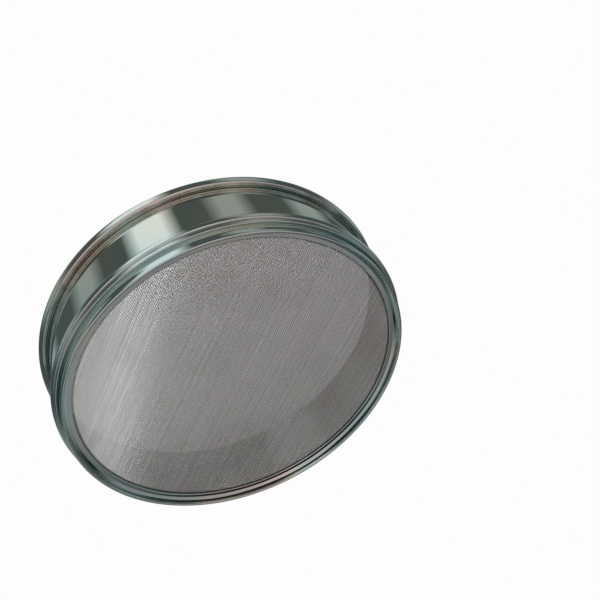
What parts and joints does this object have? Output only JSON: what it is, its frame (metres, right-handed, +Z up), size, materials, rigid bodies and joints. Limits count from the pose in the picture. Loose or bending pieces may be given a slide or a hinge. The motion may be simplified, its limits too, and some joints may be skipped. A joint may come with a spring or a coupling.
{
  "type": "soil sieve",
  "caption": "Shallow round laboratory sieve: polished ring with a rolled rim and stop bead, a nesting skirt and fine woven wire cloth stretched across its lower end.",
  "frame": {"origin": "centre of the circle that the bottom lip stands on", "axes": "+Z up along the sieve's axis, from the cloth towards the open rolled rim; the cloth's wires run along X and Y"},
  "size_m": [0.2108, 0.2108, 0.049],
  "materials": {
    "polished_body": "bright polished plate over spun steel",
    "polished_skirt": "bright polished plate over spun steel",
    "rim_wire": "drawn steel wire",
    "wire_cloth": "plain woven steel wire",
    "clamp_steel": "satin steel",
    "solder": "dull tin solder"
  },
  "bodies": {
    "root": {"body_shell": "polished_body", "rim_wire": "rim_wire", "skirt_ring": "polished_skirt", "sieve_cloth": "wire_cloth", "clamp_ring": "clamp_steel", "cloth_solder": "solder", "body_solder": "solder"}
  },
  "joints": []
}
